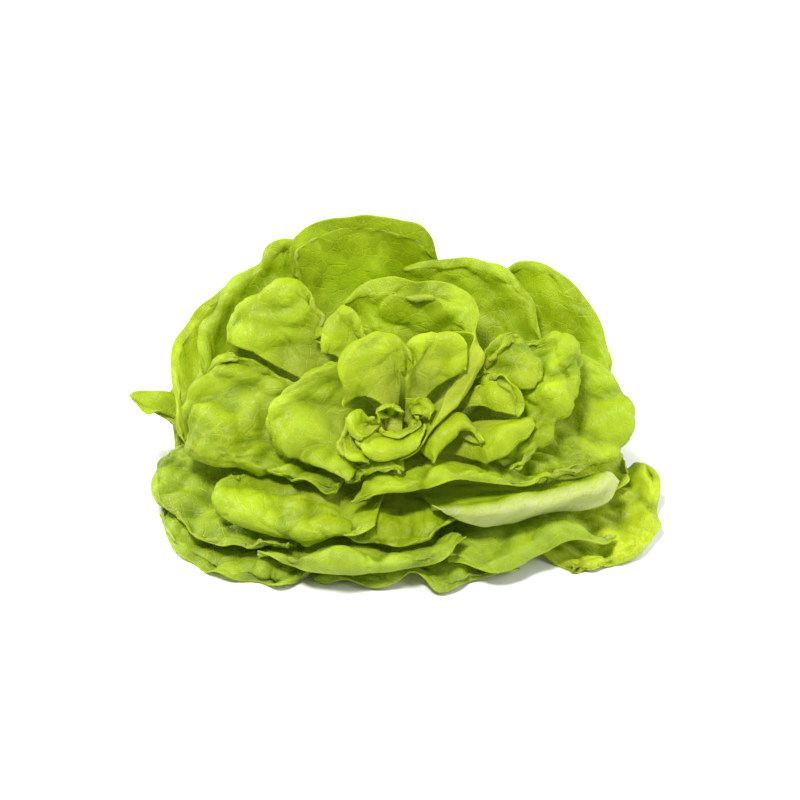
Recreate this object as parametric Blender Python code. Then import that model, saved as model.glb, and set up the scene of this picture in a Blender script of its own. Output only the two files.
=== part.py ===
"""Butterhead lettuce: a cut stem, a fused heart and separate cupped leaves.

Metres, +Z up. The origin is the middle of the stem's cut face, +X is the right of the head
and -Y the side that the head leans to. Leaves are listed from the inside out.
"""
import math

import bmesh
import bpy
import numpy as np

MM = 0.001

# Stem: a leaning cone with a flat cut face at the bottom.
LEAN = 0.45
STEM_FOOT_RADIUS = 0.0135
STEM_TOP_RADIUS = 0.0065
STEM_HEIGHT = 0.040
STEM_SIDES = 24

# Core of the heart, just above the stem.
CORE_BOTTOM = 0.0405
CORE_TOP = 0.062
CORE_RADIUS = 0.0085
CORE_SIDES = 16
CORE_RINGS = 6
HEART_ROOT_DEPTH = 0.003
HEART_ROOTS = (0.058, 0.048)

# Leaf blades.
BASE_WIDTH_DEG = 52.0
BASE_GAP = 0.0009
BASE_STEP = 0.0031
BASE_CLEAR_DEG = 62.0
BASE_LOW = 0.0035
RIM_THICKNESS = 0.0009
ROOT_THICKNESS = 0.0017
RIB_THICKNESS = 0.0007
BODY_RINGS = 6
FLAP_RINGS = 3
RIBS_PER_METRE = 95.0
FEWEST_RIBS = 9
MOST_RIBS = 17
BEND_SHARE = 0.45
RUFFLE_COUNT = 4
FLOOR = 0.0

# Sorting leaves by their distance from a point above the heart, inner ones nearest.
EYE = (0.0, -0.035, 0.165)
CELL = math.radians(1.6)
CELLS = 150
SORT_STEPS = 90
SORT_GAP = 0.0026
HEART_GAP = 0.0014
SORT_SHARE = 0.45
SORT_MOST = 0.008
SORT_FINE = 6
STEEPEST = 0.4

# Gentle waves shared by all leaves: count, length, height.
SHARED_WAVES = ((6, 0.062, 0.0011), (8, 0.030, 0.0005))
WAVE_SEED = 11

# Each leaf: name, how far out its belly sits, height of the belly, bulge of its middle towards the eye,
# ruffle, width of the rim that turns, then rim stations as x, y, z and the turn of the rim in degrees,
# + is away from the eye. All in mm.
HEART_LEAVES = (
    ("cup", 0.42, 98, 8, 1.2, 5,
     ((6, -26, 90, 0), (4, -17, 99, -20), (-5, -12, 104, -20), (-16, -12, 104, -20), (-27, -18, 98, -20),
      (-32, -28, 88, 0), (-32, -37, 78, 0))),
    ("dome", 0.42, 98, 8, 1.2, 5,
     ((40, -26, 86, 0), (41, -17, 96, -10), (33, -10, 102, -20), (20, -9, 103, -20), (9, -14, 99, -10),
      (3, -24, 90, 0))),
    ("bud_a", 0.5, 82, 3, 1.0, 4,
     ((-9, -43, 74, 0), (-9, -38, 79, 20), (-3, -34, 82, 20), (4, -36, 80, 0))),
    ("bud_b", 0.5, 82, 3, 1.0, 4,
     ((16, -46, 74, 0), (18, -38, 81, 30), (12, -32, 85, 40), (4, -32, 84, 20))),
    ("bud_c", 1.0, 66, 2, 0.8, 4,
     ((9, -42, 77, 0), (9, -48, 73, 60), (1, -51, 71, 60), (-8, -48, 73, 0))),
    ("bud_d", 1.0, 66, 3, 1.0, 5,
     ((-10, -36, 80, 0), (-20, -38, 79, 40), (-26, -45, 72, 60), (-20, -52, 66, 20))),
    ("bud_e", 0.6, 74, 6, 0.8, 7,
     ((-24, -48, 64, 20), (-17, -56, 62, 80), (-5, -60, 62, 100), (7, -58, 63, 80), (14, -50, 68, 20))),
    ("bud_f", 1.1, 64, 2, 1.0, 5,
     ((-28, -38, 74, 0), (-31, -46, 66, 40), (-28, -54, 58, 40), (-18, -60, 55, 0))),
    ("blade", 0.9, 84, 0, 0.5, 16,
     ((1, -57, 58, -60), (18, -50, 69, -150), (33, -37, 82, -165), (45, -20, 96, -150), (46, -8, 102, -60),
      (36, -4, 105, -10), (22, -3, 106, 0))),
    ("tuck", 0.5, 84, 4, 1.2, 6,
     ((47, -32, 86, 0), (51, -26, 90, 50), (60, -26, 89, 80), (68, -33, 83, 60), (68, -42, 75, 20))),
    ("pleat", 0.6, 90, 8, 2.2, 7,
     ((48, -20, 92, 0), (52, -8, 98, 30), (62, -2, 100, 40), (73, -4, 98, 50), (79, -16, 91, 50),
      (78, -28, 82, 20))),
    ("ridge", 0.6, 96, 4, 1.4, 6,
     ((-14, -6, 97, 0), (-23, 5, 107, 20), (-32, 11, 115, 0), (-40, 4, 104, 0), (-44, -6, 92, 0))),
    ("cone", 0.5, 72, 6, 1.0, 5,
     ((18, -63, 54, 0), (22, -57, 62, 30), (30, -50, 72, 50), (40, -50, 72, 50), (47, -58, 60, 30))),
    ("roll", 0.8, 62, 5, 0.4, 9,
     ((46, -62, 54, 60), (54, -58, 60, 120), (64, -52, 67, 150), (72, -48, 69, 150), (76, -42, 72, 60))),
    ("knot", 0.5, 80, 5, 1.0, 6,
     ((36, -46, 76, 20), (43, -40, 81, 70), (50, -42, 79, 80), (54, -50, 70, 40))),
)
LEAVES = (
    ("head_leaf_left", 0.5, 68, 7, 1.6, 9,
     ((-32, -8, 92, 0), (-46, -10, 86, 20), (-60, -18, 75, 50), (-69, -28, 63, 80), (-62, -44, 54, 60),
      (-44, -58, 48, 40), (-28, -66, 45, 20), (-23, -56, 52, -50), (-12, -58, 54, 10), (2, -66, 46, 0))),
    ("head_leaf_top", 0.95, 76, 11, 1.6, 8,
     ((46, -8, 95, 0), (45, 8, 106, 10), (36, 22, 113, 0), (21, 30, 117, -20), (0, 33, 118, -20),
      (-18, 31, 113, 0), (-32, 24, 107, 10))),
    ("head_leaf_right", 0.6, 76, 7, 2.3, 9,
     ((62, -60, 52, 20), (74, -50, 62, 60), (86, -34, 78, 80), (93, -16, 91, 70), (96, 0, 98, 40),
      (80, 4, 97, 10), (60, 4, 97, 0))),
    ("head_leaf_front", 0.75, 46, 4, 1.8, 8,
     ((-29, -70, 40, 0), (-13, -70, 45, 20), (3, -68, 52, 40), (22, -69, 56, 50), (43, -69, 56, 40),
      (65, -69, 50, 10), (84, -60, 42, 0))),
    ("head_leaf_upper_left", 0.7, 84, 7, 1.6, 10,
     ((-45, 4, 96, -60), (-42, 14, 104, -90), (-46, 25, 112, -20), (-59, 28, 114, 50), (-77, 24, 106, 80),
      (-91, 18, 102, 60), (-97, 8, 92, 0))),
    ("wrapper_leaf_left_blistered", 0.55, 60, 5, 2.4, 10,
     ((-94, 8, 80, 0), (-108, 4, 76, 20), (-116, -2, 66, 60), (-118, -14, 56, 70), (-113, -28, 48, 60),
      (-98, -39, 44, 40), (-68, -52, 42, 20), (-36, -62, 40, 0))),
    ("wrapper_leaf_right", 0.6, 58, 5, 1.6, 9,
     ((84, -58, 36, 0), (104, -46, 38, 20), (119, -32, 44, 50), (126, -18, 54, 60), (122, -6, 65, 40),
      (111, 4, 73, 20), (98, 12, 78, 0))),
    ("wrapper_leaf_back_right", 0.85, 66, 4, 1.2, 8,
     ((80, 24, 80, 0), (76, 38, 94, 20), (66, 46, 106, 20), (57, 50, 113, 10), (40, 52, 118, 10),
      (18, 54, 118, 0), (4, 54, 112, 0))),
    ("wrapper_leaf_back_top", 0.95, 50, 7, 1.0, 15,
     ((26, 56, 106, 0), (20, 60, 128, -20), (8, 60, 138, -40), (-12, 62, 143, -50), (-32, 63, 142, -50),
      (-50, 62, 136, -40), (-61, 58, 127, -20), (-62, 50, 106, 0))),
    ("wrapper_leaf_right_back", 0.85, 48, 2, 0.8, 8,
     ((114, 6, 64, 0), (118, 18, 70, 20), (110, 33, 86, 20), (99, 44, 98, 20), (88, 54, 109, 10),
      (78, 59, 114, 0), (62, 60, 104, 0))),
    ("wrapper_leaf_back_left", 0.85, 48, 3, 1.2, 8,
     ((-50, 58, 127, 0), (-66, 55, 126, 40), (-77, 48, 115, 60), (-94, 41, 105, 70), (-106, 31, 92, 70),
      (-112, 18, 80, 60), (-113, 4, 68, 0))),
    ("wrapper_leaf_far_left", 0.8, 34, 1, 1.0, 8,
     ((-84, 56, 106, 0), (-105, 48, 96, 20), (-121, 38, 83, 30), (-131, 25, 68, 40), (-131, 4, 50, 40),
      (-124, -14, 36, 20))),
    ("wrapper_leaf_left_roll", 0.7, 36, 0, 0.4, 9,
     ((-110, 9, 58, 60), (-126, 6, 63, 120), (-142, 2, 67, 150), (-144, -2, 64, 150), (-130, -2, 58, 120),
      (-110, 1, 52, 60))),
    ("wrapper_leaf_front_pale", 0.75, 32, 0, 0.5, 30,
     ((18, -74, 32, 0), (28, -78, 38, 90), (44, -80, 44, 140), (65, -76, 47, 155), (84, -68, 45, 155),
      (104, -56, 42, 130), (118, -42, 34, 40))),
    ("wrapper_leaf_front_left", 0.6, 34, 5, 1.8, 9,
     ((-92, -44, 36, 0), (-105, -52, 32, 60), (-90, -68, 26, 50), (-62, -82, 21, 30), (-35, -90, 19, 10),
      (-16, -86, 22, 0))),
    ("wrapper_leaf_front_mid", 0.6, 26, 3, 1.6, 9,
     ((-34, -82, 22, 0), (-12, -88, 22, 20), (6, -88, 22, 40), (22, -80, 26, 40), (36, -70, 30, 0))),
    ("outer_leaf_left", 0.6, 20, 1, 1.8, 10,
     ((-118, 2, 28, 0), (-133, -8, 28, 20), (-140, -24, 21, 40), (-137, -43, 15, 40), (-124, -60, 11, 30),
      (-96, -78, 11, 20), (-62, -84, 14, 0))),
    ("outer_leaf_front", 0.75, 8, 1, 1.4, 9,
     ((-76, -84, 16, 0), (-54, -94, 22, 80), (-27, -99, 23, 110), (0, -100, 22, 110), (22, -94, 24, 80),
      (32, -84, 26, 0))),
    ("outer_leaf_right_low", 0.6, 14, 1, 1.0, 9,
     ((119, -40, 16, 0), (135, -26, 14, 30), (134, -10, 14, 40), (130, 4, 14, 20), (120, 16, 18, 0))),
    ("outer_leaf_front_right", 0.65, 16, 1, 1.2, 10,
     ((26, -90, 14, 0), (48, -95, 16, 60), (70, -88, 22, 70), (91, -76, 24, 50), (109, -76, 18, 30),
      (120, -70, 12, 0))),
    ("floor_leaf_left", 0.6, 8, 1, 2.4, 9,
     ((-135, -26, 6, 0), (-128, -56, 4, 0), (-102, -86, 4, 20), (-76, -97, 5, 30), (-50, -98, 5, 20),
      (-27, -92, 5, 0))),
    ("floor_leaf_front", 0.6, 5, 1, 2.0, 8,
     ((-45, -90, 3, 0), (-17, -100, 6, 20), (0, -94, 8, 60), (12, -95, 7, 0), (26, -101, 7, 60),
      (42, -94, 8, 20), (66, -88, 4, 0))),
    ("floor_leaf_right", 0.6, 5, 1, 2.2, 9,
     ((96, -82, 3, 0), (120, -78, 5, 30), (136, -62, 8, 40), (143, -42, 12, 40), (140, -22, 16, 30),
      (129, -6, 10, 0))),
    ("outer_leaf_back_left", 0.8, 18, 1, 2.4, 10,
     ((-128, 0, 20, 0), (-132, 30, 40, 30), (-110, 58, 56, 40), (-80, 78, 66, 40), (-46, 86, 64, 30),
      (-24, 82, 50, 0))),
    ("outer_leaf_back_right", 0.8, 18, 1, 2.4, 10,
     ((-12, 80, 54, 0), (14, 88, 66, 30), (46, 88, 66, 40), (80, 74, 58, 40), (108, 52, 46, 30),
      (124, 24, 22, 0))),
    ("floor_leaf_back", 0.65, 3, 1, 2.4, 9,
     ((-104, 48, 5, 0), (-84, 78, 8, 20), (-46, 96, 12, 40), (0, 102, 14, 40), (46, 96, 12, 40),
      (86, 76, 8, 20), (106, 44, 5, 0))),
)

STEM_COLOR = (0.78, 0.80, 0.52)
HEART_COLOR = (0.62, 0.72, 0.16)
LEAF_COLOR = (0.42, 0.55, 0.06)


def axis_at(height):
    """Middle of the leaning stem at this height."""
    return np.array((0.0, -LEAN * height, height))


def stem_radius(height):
    """Radius of the stem at this height."""
    part = min(max(height / STEM_HEIGHT, 0.0), 1.0)
    return STEM_FOOT_RADIUS + (STEM_TOP_RADIUS - STEM_FOOT_RADIUS) * part ** 1.3


def unit(vectors):
    """Vectors scaled to length one."""
    length = np.linalg.norm(vectors, axis=-1, keepdims=True)
    return vectors / np.maximum(length, 1e-9)


def smooth_line(stations, count):
    """Evenly spaced points on a smooth line through the stations."""
    pts = np.array(stations, dtype=float)
    ends = np.vstack((2 * pts[0] - pts[1], pts, 2 * pts[-1] - pts[-2]))
    fine = []
    for k in range(len(pts) - 1):
        a, b, c, d = ends[k:k + 4]
        for t in np.linspace(0.0, 1.0, 12, endpoint=False):
            fine.append(0.5 * (2 * b + (c - a) * t + (2 * a - 5 * b + 4 * c - d) * t ** 2
                               + (3 * b - a - 3 * c + d) * t ** 3))
    fine.append(pts[-1])
    fine = np.array(fine)
    steps = np.linalg.norm(np.diff(fine[:, :3], axis=0), axis=1)
    along = np.concatenate(((0.0,), np.cumsum(steps)))
    wanted = np.linspace(0.0, along[-1], count)
    line = np.stack([np.interp(wanted, along, fine[:, k]) for k in range(fine.shape[1])], axis=1)
    return line, along[-1]


def grid_normals(grid):
    """Unit normals of a grid of points, pointing away from the eye above the heart."""
    across = np.gradient(grid, axis=1)
    up = np.gradient(grid, axis=0)
    normals = unit(np.cross(across, up))
    away = grid - np.array(EYE)
    return normals if (normals * away).sum() > 0 else -normals


def shared_wave(points):
    """Gentle waves in space, alike for neighbouring leaves."""
    rng = np.random.default_rng(WAVE_SEED)
    moved = np.zeros_like(points)
    for count, length, height in SHARED_WAVES:
        for _ in range(count):
            run = unit(rng.normal(size=3)) * 2 * math.pi / length
            push = unit(rng.normal(size=3))
            phase = rng.uniform(0.0, 2 * math.pi)
            moved += height * push * np.sin(points @ run + phase)[..., None]
    return moved


def leaf_grid(leaf, number, base_height, root_radius):
    """Grid of a blade's middle surface: rings from the root to the rim, ribs across."""
    _, belly_out, belly_height, bulge, ruffle, flap_width, stations = leaf
    rim_mm, length = smooth_line(stations, 3)
    ribs = int(min(max(round(length * MM * RIBS_PER_METRE), FEWEST_RIBS), MOST_RIBS))
    rim_mm, length = smooth_line(stations, ribs)
    rim = rim_mm[:, :3] * MM
    turn = np.radians(rim_mm[:, 3])
    root = axis_at(base_height)
    centre = rim.mean(axis=0)
    facing = math.atan2(centre[1] - root[1], centre[0] - root[0])
    first = math.atan2(rim[0, 1] - root[1], rim[0, 0] - root[0])
    swing = (facing - first + math.pi) % (2 * math.pi) - math.pi
    side = 1.0 if swing > 0 else -1.0
    spread = np.linspace(-0.5, 0.5, ribs) * math.radians(BASE_WIDTH_DEG) * side
    base = np.stack((root[0] + root_radius * np.cos(facing + spread),
                     root[1] + root_radius * np.sin(facing + spread),
                     np.full(ribs, root[2])), axis=1)
    reach = rim - base
    belly = base + reach * belly_out
    tilt = (rim[:, 2] - centre[2]) * 0.6
    belly[:, 2] = belly_height * MM + tilt
    tangent = unit(rim - belly)
    held = np.clip(1.0 - np.abs(turn) / math.radians(120.0), 0.0, 1.0)[:, None]
    fade = np.sin(math.pi * np.linspace(0.04, 0.96, ribs)) ** 0.6
    flap = (fade * np.minimum(flap_width * MM, 0.35 * np.linalg.norm(reach, axis=1)))[:, None]
    end = rim - tangent * flap * held
    rings = []
    for t in np.linspace(0.0, 1.0, BODY_RINGS) ** 0.85:
        rings.append(base * (1 - t) ** 2 + belly * 2 * t * (1 - t) + end * t ** 2)
    body = np.array(rings)
    outward = grid_normals(body)[-1]
    outward = unit(outward - tangent * (outward * tangent).sum(axis=1, keepdims=True))
    point = end.copy()
    steps = 4
    for k in range(FLAP_RINGS):
        for step in range(steps):
            angle = turn * min((k * steps + step + 0.5) / (FLAP_RINGS * steps * BEND_SHARE), 1.0)
            heading = tangent * np.cos(angle)[:, None] + outward * np.sin(angle)[:, None]
            point = point + heading * flap / (FLAP_RINGS * steps)
        rings.append(point.copy())
    grid = np.array(rings)
    rng = np.random.default_rng(100 + number)
    phase = rng.uniform(0.0, 2 * math.pi, 3)
    u = np.linspace(0.0, 1.0, ribs)[None, :]
    s = np.linspace(0.0, 1.0, len(grid))[:, None]
    turns = 2 * math.pi * RUFFLE_COUNT * u
    wave = np.sin(turns * 0.5 + phase[0]) + 0.5 * np.sin(turns + phase[1])
    pucker = np.sin(2 * math.pi * (1.5 * s + 0.5 * u) + phase[2]) * s * (1 - s) * 2
    puff = np.sin(math.pi * s ** 1.4) * np.sin(math.pi * u) ** 0.7 * bulge
    grid = grid + grid_normals(grid) * (((wave * s ** 2.5 + pucker) * ruffle - puff) * MM)[..., None]
    fixed = np.clip(s * 2.5, 0.0, 1.0)[..., None]
    return grid + shared_wave(grid) * fixed


def grid_faces(rings, ribs):
    """Triangles of a grid, as triples of point numbers."""
    faces = []
    for i in range(rings - 1):
        for j in range(ribs - 1):
            a = i * ribs + j
            b, c, d = a + 1, a + ribs + 1, a + ribs
            faces.append((a, b, c))
            faces.append((a, c, d))
    return faces


def finer(grid, times):
    """The grid with this many steps between neighbouring points, on straight lines."""
    for axis in (0, 1):
        count = grid.shape[axis]
        at = np.linspace(0.0, count - 1.0, (count - 1) * times + 1)
        low = np.minimum(at.astype(int), count - 2)
        part = (at - low).reshape((-1, 1, 1) if axis == 0 else (1, -1, 1))
        grid = np.take(grid, low, axis=axis) * (1 - part) + np.take(grid, low + 1, axis=axis) * part
    return grid


def share_out(field, times):
    """Moves of a finer grid gathered at the coarse points, nearer ones counting more."""
    rings, ribs = (field.shape[0] - 1) // times + 1, (field.shape[1] - 1) // times + 1
    padded = np.pad(field, times - 1)
    best = np.zeros((rings, ribs))
    for di in range(2 * times - 1):
        for dj in range(2 * times - 1):
            weight = (1 - abs(di - times + 1) / times) * (1 - abs(dj - times + 1) / times)
            rows = slice(di, di + (rings - 1) * times + 1, times)
            columns = slice(dj, dj + (ribs - 1) * times + 1, times)
            near = padded[rows, columns] * weight
            best = np.where(np.abs(near) > np.abs(best), near, best)
    return best


def seen_from_eye(points):
    """Cell number, distance and direction of each point as seen from above the heart."""
    offset = points - np.array(EYE)
    distance = np.linalg.norm(offset, axis=-1)
    heading = offset / distance[..., None]
    down = np.arccos(np.clip(-heading[..., 2], -1.0, 1.0))
    round_angle = np.arctan2(heading[..., 1], heading[..., 0])
    column = np.clip((down * np.cos(round_angle) / CELL + CELLS / 2).astype(int), 0, CELLS - 1)
    row = np.clip((down * np.sin(round_angle) / CELL + CELLS / 2).astype(int), 0, CELLS - 1)
    return row * CELLS + column, distance, heading


def sort_leaves(grids, levels):
    """Slide leaves along the lines of sight from the eye until inner ones lie nearer."""
    starts = [grid.copy() for grid in grids]
    top = max(levels) + 1
    flat = (BODY_RINGS - 1) * SORT_FINE + 1
    for step in range(SORT_STEPS):
        total = np.zeros((top, 2, CELLS * CELLS))
        hits = np.zeros((top, 2, CELLS * CELLS))
        views = []
        for grid, level in zip(grids, levels):
            cell, distance, heading = seen_from_eye(finer(grid, SORT_FINE))
            facing = np.abs((finer(grid_normals(grid), SORT_FINE) * heading).sum(axis=-1))
            gap = HEART_GAP if level < len(HEART_LEAVES) else SORT_GAP
            views.append((cell, distance, gap / np.maximum(facing, STEEPEST)))
            for part, rows in enumerate((slice(0, flat), slice(flat, None))):
                total[level, part] += np.bincount(cell[rows].ravel(), distance[rows].ravel(), CELLS * CELLS)
                hits[level, part] += np.bincount(cell[rows].ravel(), minlength=CELLS * CELLS)
        mean = total / np.maximum(hits, 1)
        nearest = np.where(hits > 0, mean, -1.0).max(axis=1)
        farthest = np.where(hits > 0, mean, 9.0).min(axis=1)
        inner = np.full_like(nearest, -1.0)
        outer = np.full_like(nearest, 9.0)
        for level in range(1, top):
            inner[level] = np.maximum(inner[level - 1], nearest[level - 1])
        for level in range(top - 2, -1, -1):
            outer[level] = np.minimum(outer[level + 1], farthest[level + 1])
        blend = 0.3 * max(1.0 - 1.3 * step / SORT_STEPS, 0.0)
        for k, (grid, level) in enumerate(zip(grids, levels)):
            cell, here, gap = views[k]
            away = np.maximum(inner[level][cell] + gap - here, 0.0)
            back = np.maximum(here + gap - outer[level][cell], 0.0)
            move = np.clip(away - back, -SORT_MOST, SORT_MOST) * SORT_SHARE
            s = np.linspace(0.0, 1.0, len(grid))[:, None]
            slide = share_out(move, SORT_FINE) * np.clip((s - 0.05) * 5.0, 0.0, 1.0)
            heading = unit(grid - np.array(EYE))
            moved = grid + heading * slide[..., None]
            grids[k] = settle(starts[k] + soften(moved - starts[k], blend), starts[k])
    return grids


def settle(grid, start):
    """Keep a blade above the floor, clear of the stem and rooted where it starts."""
    grid[..., 2] = np.maximum(grid[..., 2], FLOOR + ROOT_THICKNESS * 0.5)
    grid = clear_of_stem(grid)
    grid[0] = start[0]
    return grid


def soften(field, share):
    """Blend each move with its neighbours' moves."""
    out = field.copy()
    for axis in (0, 1):
        before = np.roll(out, 1, axis=axis)
        after = np.roll(out, -1, axis=axis)
        first = [slice(None)] * 3
        last = [slice(None)] * 3
        first[axis] = slice(0, 1)
        last[axis] = slice(-1, None)
        before[tuple(first)] = out[tuple(first)]
        after[tuple(last)] = out[tuple(last)]
        out = out * (1 - share) + (before + after) * (share / 2)
    return out


def clear_of_stem(grid):
    """Keep every ring past the root outside the stem."""
    height = grid[1:, :, 2]
    part = np.clip(height / STEM_HEIGHT, 0.0, 1.0)
    radius = STEM_FOOT_RADIUS + (STEM_TOP_RADIUS - STEM_FOOT_RADIUS) * part ** 1.3
    least = np.maximum(radius, CORE_RADIUS * 0.9) + 0.0025
    least = np.where(height > CORE_TOP, 0.0, least)
    offset = grid[1:, :, :2] - np.stack((height * 0, -LEAN * height), axis=2)
    distance = np.maximum(np.linalg.norm(offset, axis=2), 1e-6)
    push = np.maximum(least / distance - 1.0, 0.0)
    grid[1:, :, :2] += offset * push[..., None]
    return grid


def blade_mesh(grid):
    """Closed solid round the middle surface, with alike triangles on both faces."""
    rings, ribs = grid.shape[:2]
    normals = grid_normals(grid)
    s = np.linspace(0.0, 1.0, rings)[:, None]
    u = np.linspace(-1.0, 1.0, ribs)[None, :]
    half = 0.5 * (ROOT_THICKNESS + (RIM_THICKNESS - ROOT_THICKNESS) * s ** 0.6)
    rib = RIB_THICKNESS * np.exp(-(u / 0.16) ** 2) * (1 - s) ** 0.8
    inner = grid - normals * half[..., None]
    outer = grid + normals * (half + rib)[..., None]
    verts = np.vstack((inner.reshape(-1, 3), outer.reshape(-1, 3)))
    verts[:, 2] = np.maximum(verts[:, 2], FLOOR)
    count = rings * ribs
    inner_faces = grid_faces(rings, ribs)
    edge = [j for j in range(ribs)]
    edge += [i * ribs + ribs - 1 for i in range(1, rings)]
    edge += [(rings - 1) * ribs + j for j in range(ribs - 2, -1, -1)]
    edge += [i * ribs for i in range(rings - 2, 0, -1)]
    faces = list(inner_faces)
    faces += [(f[0] + count, f[2] + count, f[1] + count) for f in inner_faces]
    for k, a in enumerate(edge):
        b = edge[(k + 1) % len(edge)]
        faces.append((b, a, a + count))
        faces.append((b, a + count, b + count))
    a, b, c = (verts[k] for k in inner_faces[0])
    if np.cross(b - a, c - a) @ normals[0, 0] > 0:
        faces = [(f[0], f[2], f[1]) for f in faces]
    return verts, faces


def add_object(name, verts, faces, collection):
    """A mesh object from points and faces."""
    mesh = bpy.data.meshes.new(name)
    mesh.from_pydata([tuple(v) for v in verts], [], faces)
    mesh.validate()
    mesh.update()
    obj = bpy.data.objects.new(name, mesh)
    collection.objects.link(obj)
    return obj


def paint(obj, color):
    """Give an object its own plain material."""
    material = bpy.data.materials.new(obj.name + "_mat")
    material.use_nodes = True
    shader = material.node_tree.nodes["Principled BSDF"]
    shader.inputs["Base Color"].default_value = (*color, 1.0)
    shader.inputs["Roughness"].default_value = 0.45
    obj.data.materials.clear()
    obj.data.materials.append(material)


def turned_mesh(sections, sides):
    """Closed body from round sections: height and radius of each, bottom to top."""
    verts, faces = [], []
    for height, radius in sections:
        middle = axis_at(height)
        for k in range(sides):
            angle = 2 * math.pi * k / sides
            verts.append(middle + np.array((radius * math.cos(angle), radius * math.sin(angle), 0.0)))
    for i in range(len(sections) - 1):
        for k in range(sides):
            a, b = i * sides + k, i * sides + (k + 1) % sides
            faces.append((a, b, b + sides, a + sides))
    faces.append(tuple(range(sides - 1, -1, -1)))
    last = (len(sections) - 1) * sides
    faces.append(tuple(range(last, last + sides)))
    return verts, faces


def make_stem(collection):
    """Leaning stump with a flat cut face."""
    sections = []
    for part in (0.0, 0.05, 0.25, 0.5, 0.75, 0.95, 1.0):
        height = STEM_HEIGHT * part
        radius = stem_radius(height)
        if part in (0.0, 1.0):
            radius -= 0.001
        sections.append((height, radius))
    verts, faces = turned_mesh(sections, STEM_SIDES)
    stem = add_object("stem", verts, faces, collection)
    paint(stem, STEM_COLOR)


def core_radius(height):
    """Radius of the egg-shaped core at this height."""
    part = (height - CORE_BOTTOM) / (CORE_TOP - CORE_BOTTOM)
    return CORE_RADIUS * max(1.0 - (2 * part - 1) ** 2, 0.0) ** 0.5


def fill_hollows(mesh):
    """Drop every shell but the outside one, so no hollow is sealed in."""
    work = bmesh.new()
    work.from_mesh(mesh)
    left = set(work.faces)
    shells = []
    while left:
        shell, front = [], [left.pop()]
        while front:
            face = front.pop()
            shell.append(face)
            for edge in face.edges:
                for other in edge.link_faces:
                    if len(edge.link_faces) == 2 and other in left:
                        left.remove(other)
                        front.append(other)
        shells.append(shell)
    shells.sort(key=len)
    inner = [face for shell in shells[:-1] for face in shell]
    bmesh.ops.delete(work, geom=inner, context="FACES")
    work.to_mesh(mesh)
    work.free()


def make_heart(grids, collection):
    """Innermost leaves joined to a small core as one solid."""
    sections = []
    for part in np.linspace(0.06, 0.94, CORE_RINGS):
        height = CORE_BOTTOM + (CORE_TOP - CORE_BOTTOM) * part
        sections.append((height, core_radius(height)))
    verts, faces = turned_mesh(sections, CORE_SIDES)
    heart = add_object("heart", verts, faces, collection)
    pieces = bpy.data.collections.new("heart_pieces")
    bpy.context.scene.collection.children.link(pieces)
    for number, grid in enumerate(grids):
        add_object("heart_piece_%d" % number, *blade_mesh(grid), pieces)
    union = heart.modifiers.new("union", "BOOLEAN")
    union.operation = "UNION"
    union.operand_type = "COLLECTION"
    union.collection = pieces
    union.solver = "MANIFOLD"
    bpy.context.view_layer.update()
    solved = heart.evaluated_get(bpy.context.evaluated_depsgraph_get())
    mesh = bpy.data.meshes.new_from_object(solved)
    heart.modifiers.clear()
    heart.data = mesh
    mesh.name = "heart"
    fill_hollows(mesh)
    for obj in list(pieces.objects):
        bpy.data.objects.remove(obj)
    bpy.data.collections.remove(pieces)
    paint(heart, HEART_COLOR)


def facing_of(stations):
    """Compass direction in degrees from the stem to a leaf's rim."""
    rim = np.array(stations, dtype=float)[:, :3].mean(axis=0)
    return math.degrees(math.atan2(rim[1] + LEAN * 20.0, rim[0]))


def root_heights():
    """Height of each leaf's root: just above the roots below it on the same side."""
    placed = []
    for leaf in reversed(LEAVES):
        facing = facing_of(leaf[-1])
        height = BASE_LOW
        for other, other_height in placed:
            apart = abs((facing - other + 180.0) % 360.0 - 180.0)
            if apart < BASE_CLEAR_DEG:
                height = max(height, other_height + BASE_STEP)
        placed.append((facing, height))
    return [height for _, height in reversed(placed)]


def all_grids():
    """Middle surfaces of every blade from the inside out, pressed apart."""
    grids = []
    for number, leaf in enumerate(HEART_LEAVES):
        part = number / (len(HEART_LEAVES) - 1)
        height = HEART_ROOTS[0] + (HEART_ROOTS[1] - HEART_ROOTS[0]) * part
        radius = core_radius(height) - HEART_ROOT_DEPTH
        grids.append(leaf_grid(leaf, number, height, radius))
    for number, (leaf, height) in enumerate(zip(LEAVES, root_heights())):
        radius = stem_radius(height) + BASE_GAP + ROOT_THICKNESS * 0.5
        grids.append(leaf_grid(leaf, 20 + number, height, radius))
    return sort_leaves(grids, list(range(len(grids))))


def main():
    for obj in list(bpy.data.objects):
        bpy.data.objects.remove(obj)
    collection = bpy.context.scene.collection
    grids = all_grids()
    make_stem(collection)
    make_heart(grids[:len(HEART_LEAVES)], collection)
    for leaf, grid in zip(LEAVES, grids[len(HEART_LEAVES):]):
        obj = add_object(leaf[0], *blade_mesh(grid), collection)
        paint(obj, LEAF_COLOR)


if __name__ == "__main__":
    main()
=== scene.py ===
"""Looks of the butterhead lettuce: fine blades with veins, blisters and ruffles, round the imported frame.

Metres, +Z up, the same frame as the CAD. The table of leaves and the way they are sorted are the
CAD's own, so each fine blade lies where its CAD node lies.
"""

import math

import bpy
import numpy as np
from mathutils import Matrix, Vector, noise


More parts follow.
